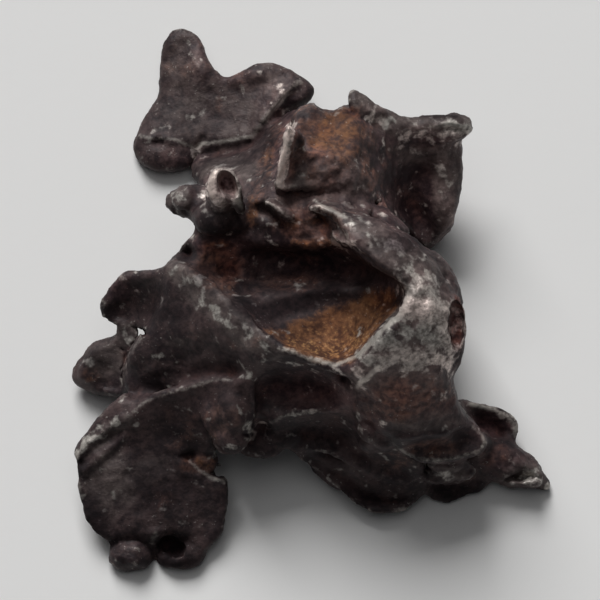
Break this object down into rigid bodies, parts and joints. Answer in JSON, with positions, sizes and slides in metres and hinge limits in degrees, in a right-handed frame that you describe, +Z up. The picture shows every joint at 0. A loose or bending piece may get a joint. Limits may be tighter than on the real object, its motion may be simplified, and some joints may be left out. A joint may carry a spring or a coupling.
{
  "type": "pallasite meteorite",
  "caption": "Skeletal stony-iron meteorite: one piece of dark metal in thin leaves, cusps and horns between empty grain moulds.",
  "frame": {"origin": "middle of the footprint, on the surface that the specimen lies on", "axes": "+Z up as it rests, +Y along its broad side towards the far plate, +X towards the thin curl"},
  "size_m": [0.034, 0.0398, 0.0177],
  "materials": {
    "weathered_iron": "dark semi-gloss patina, worn to silver on the ridges, ochre film in the deepest moulds"
  },
  "bodies": {
    "root": {"metal_skeleton": "weathered_iron"}
  },
  "joints": []
}
